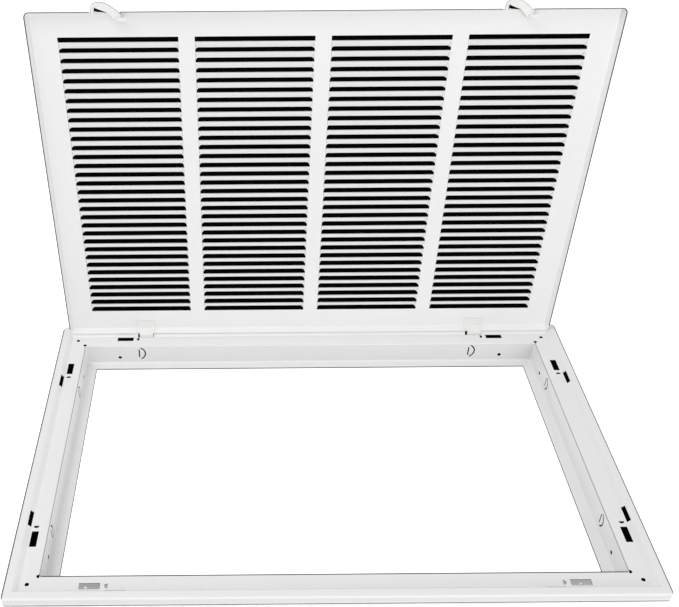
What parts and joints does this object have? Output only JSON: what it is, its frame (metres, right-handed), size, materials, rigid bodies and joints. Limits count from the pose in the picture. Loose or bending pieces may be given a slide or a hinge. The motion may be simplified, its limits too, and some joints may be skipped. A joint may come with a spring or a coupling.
{
  "type": "return air filter grille",
  "caption": "Steel return air filter grille: a flanged frame with a folded neck and a louvered door that hinges open on one long side, held shut by turning latches.",
  "frame": {"origin": "middle of the frame at the underside of the neck's lip", "axes": "+X along the hinge from the left end to the right, +Y from the latch side to the hinge side, +Z out of the duct into the room"},
  "size_m": [0.702, 0.4748, 0.4978],
  "materials": {
    "frame_enamel": "satin white enamel on folded sheet steel",
    "door_enamel": "satin white enamel on lanced sheet steel",
    "clip_enamel": "satin white enamel on bent strip",
    "latch_enamel": "satin white enamel on stamped sheet steel"
  },
  "bodies": {
    "frame": {"frame": "frame_enamel"},
    "door": {"door_panel": "door_enamel", "hinge_clip_left": "clip_enamel", "hinge_clip_right": "clip_enamel"},
    "latch_left": {"latch_left": "latch_enamel"},
    "latch_right": {"latch_right": "latch_enamel"}
  },
  "joints": [
    {"name": "door_hinge", "type": "hinge", "parent": "frame", "child": "door", "pos_m": [0, 0.22398, 0.03793], "axis": [1, 0, 0], "range_deg": [0, 90]},
    {"name": "latch_left_turn", "type": "hinge", "parent": "door", "child": "latch_left", "pos_m": [-0.2325, 0.22355, 0.47941], "axis": [0, -1, 0], "range_deg": [0, 90]},
    {"name": "latch_right_turn", "type": "hinge", "parent": "door", "child": "latch_right", "pos_m": [0.2325, 0.22355, 0.47941], "axis": [0, -1, 0], "range_deg": [0, 90]}
  ]
}
